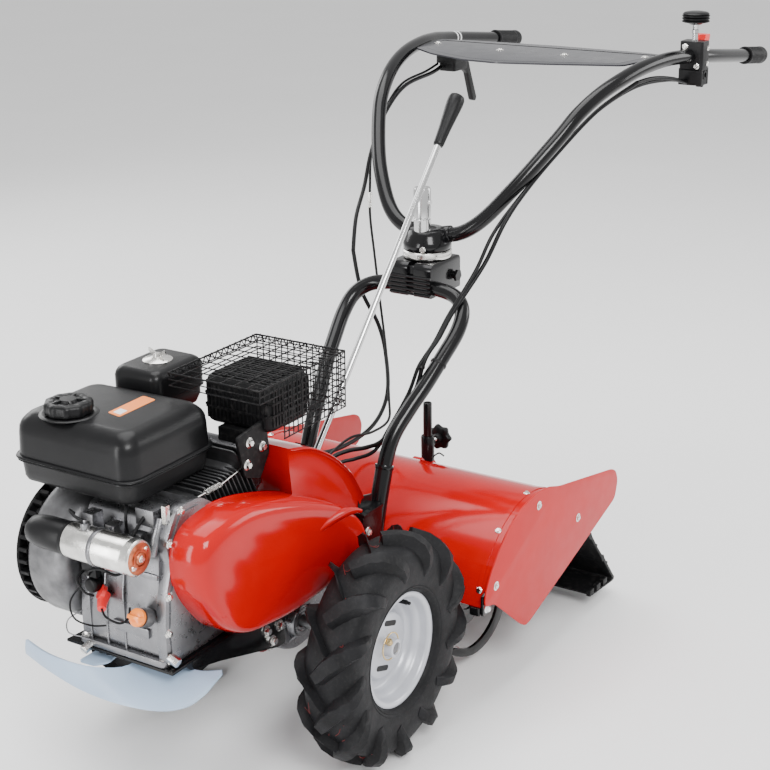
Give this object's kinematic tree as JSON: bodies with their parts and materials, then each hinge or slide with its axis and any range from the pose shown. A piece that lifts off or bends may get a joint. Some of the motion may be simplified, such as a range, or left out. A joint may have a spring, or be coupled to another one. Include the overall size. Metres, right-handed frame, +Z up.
{
  "type": "mini cultivator",
  "caption": "Two-wheel rear-tine garden tiller: petrol engine in front, red tine hood with rear flap, swivelling handlebar with controls, gear lever and depth skid.",
  "frame": {"origin": "on the ground under the middle of the machine's length and width", "axes": "+X from the engine towards the handlebar grips, -Y towards the belt cover, +Z up"},
  "size_m": [1.6219, 0.5688, 1.0063],
  "materials": {
    "red_paint": "gloss paint",
    "black_paint": "satin black powder coat",
    "black_plastic": "moulded, satin",
    "cable_casing": "smooth extruded casing",
    "tyre_rubber": "matte moulded rubber",
    "grip_rubber": "ribbed moulded rubber",
    "silver_paint": "satin silver-grey paint",
    "cast_aluminium": "fine cast grain",
    "steel": "turned and bright",
    "zinc_plate": "bright zinc plate",
    "pale_paint": "pale blue-grey paint",
    "belt_rubber": "matte belt rubber",
    "orange_plastic": "moulded, glossy",
    "red_plastic": "moulded, glossy"
  },
  "bodies": {
    "machine": {"gearbox_left": "cast_aluminium", "gearbox_right": "cast_aluminium", "hood": "red_paint", "hood_end_left": "red_paint", "hood_end_right": "red_paint", "depth_sleeve": "black_paint", "chassis_plate": "black_paint", "front_bumper": "pale_paint", "arch_tube": "black_paint", "arch_bracket": "black_paint", "belt_cover": "red_paint", "belt_backplate": "black_paint", "drive_belt": "belt_rubber", "crankcase": "cast_aluminium", "cylinder": "cast_aluminium", "valve_cover": "cast_aluminium", "fan_housing": "black_plastic", "starter_motor": "zinc_plate", "starter_nose": "black_plastic", "tank_upper": "black_paint", "tank_lower": "black_paint", "air_cleaner_cover": "black_plastic", "muffler": "black_paint", "muffler_cage": "black_paint", "lever_shroud": "red_paint", "clutch_cable": "cable_casing", "throttle_cable": "cable_casing"},
    "wheel_set": {"tyre_left": "tyre_rubber", "tyre_right": "tyre_rubber", "rim_left": "silver_paint", "rim_right": "silver_paint", "axle_shaft": "steel"},
    "rotor": {"rotor_shaft": "steel", "tines_left_outer": "black_paint", "tines_left_inner": "black_paint", "tines_right_inner": "black_paint", "tines_right_outer": "black_paint"},
    "crank": {"crankshaft": "steel"},
    "input": {"input_shaft": "steel"},
    "shift_lever": {"gear_lever": "steel", "gear_lever_grip": "black_plastic"},
    "column": {"column_clamp": "black_paint", "swivel_ring": "zinc_plate"},
    "handlebar": {"handlebar_saddle": "black_paint", "swivel_lock": "zinc_plate", "handlebar_tube": "black_paint", "grip_left": "grip_rubber", "grip_right": "grip_rubber", "console_plate": "black_plastic", "near_control_clamp": "black_plastic", "throttle_box": "black_plastic"},
    "drive_control": {"drive_knob": "black_plastic"},
    "catch": {"red_catch": "red_plastic"},
    "throttle": {"throttle_lever": "black_plastic"},
    "depth_gauge": {"depth_rod": "black_paint"},
    "depth_lock": {"depth_knob": "black_plastic"},
    "flap": {"rear_flap": "black_paint"},
    "tank_cap": {"fuel_cap": "black_plastic"},
    "cleaner_nut": {"wing_nut": "zinc_plate"},
    "dipstick": {"oil_dipstick": "orange_plastic"}
  },
  "joints": [
    {"name": "axle_spin", "type": "hinge", "parent": "machine", "child": "wheel_set", "pos_m": [-0.44057, 0, 0.18], "axis": [0, 1, 0], "continuous": true},
    {"name": "rotor_spin", "type": "hinge", "parent": "machine", "child": "rotor", "pos_m": [-0.09771, 0, 0.15], "axis": [0, 1, 0], "continuous": true},
    {"name": "crank_spin", "type": "hinge", "parent": "machine", "child": "crank", "pos_m": [-0.68914, 0, 0.36857], "axis": [0, 1, 0], "continuous": true},
    {"name": "input_spin", "type": "hinge", "parent": "machine", "child": "input", "pos_m": [-0.47486, 0, 0.35143], "axis": [0, 1, 0], "continuous": true},
    {"name": "gear_shift", "type": "hinge", "parent": "machine", "child": "shift_lever", "pos_m": [-0.39257, -0.03429, 0.40114], "axis": [0, 1, 0], "range_deg": [-8, 8]},
    {"name": "handle_height", "type": "hinge", "parent": "machine", "child": "column", "pos_m": [-0.02314, 0, 0.60214], "axis": [0, 1, 0], "range_deg": [-12, 12], "deforming": ["clutch_cable", "throttle_cable"]},
    {"name": "handle_swivel", "type": "hinge", "parent": "column", "child": "handlebar", "pos_m": [0.018, 0, 0.65143], "axis": [0, 0, 1], "range_deg": [-25, 25], "deforming": ["clutch_cable", "throttle_cable"]},
    {"name": "drive_pull", "type": "slide", "parent": "handlebar", "child": "drive_control", "axis": [0, 0, 1], "range_m": [0, 0.01]},
    {"name": "catch_press", "type": "hinge", "parent": "handlebar", "child": "catch", "pos_m": [0.51814, -0.26143, 0.94629], "axis": [0, 1, 0], "range_deg": [0, 20], "stiffness_Nm_per_rad": 0.02, "springref_deg": -17.19},
    {"name": "throttle_swing", "type": "hinge", "parent": "handlebar", "child": "throttle", "pos_m": [0.468, 0.18986, 0.88629], "axis": [0, 1, 0], "range_deg": [-8, 25]},
    {"name": "depth_slide", "type": "slide", "parent": "machine", "child": "depth_gauge", "axis": [0, 0, -1], "range_m": [0, 0.08]},
    {"name": "depth_lock_turn", "type": "hinge", "parent": "machine", "child": "depth_lock", "pos_m": [0.01543, 0, 0.306], "axis": [1, 0, 0], "continuous": true},
    {"name": "flap_swing", "type": "hinge", "parent": "machine", "child": "flap", "pos_m": [0.05743, 0, 0.21257], "axis": [0, -1, 0], "range_deg": [0, 35]},
    {"name": "cap_turn", "type": "hinge", "parent": "machine", "child": "tank_cap", "pos_m": [-0.71314, 0.13543, 0.57429], "axis": [0, 0, 1], "continuous": true},
    {"name": "cleaner_nut_turn", "type": "hinge", "parent": "machine", "child": "cleaner_nut", "pos_m": [-0.516, 0.14057, 0.59143], "axis": [0, 0, 1], "continuous": true},
    {"name": "dipstick_turn", "type": "hinge", "parent": "machine", "child": "dipstick", "pos_m": [-0.76629, -0.02571, 0.32325], "axis": [0.9136, 0, -0.4065], "continuous": true}
  ],
  "couplings": [
    {"joint": "crank_spin", "follows": "input_spin", "ratio": 1.25}
  ]
}
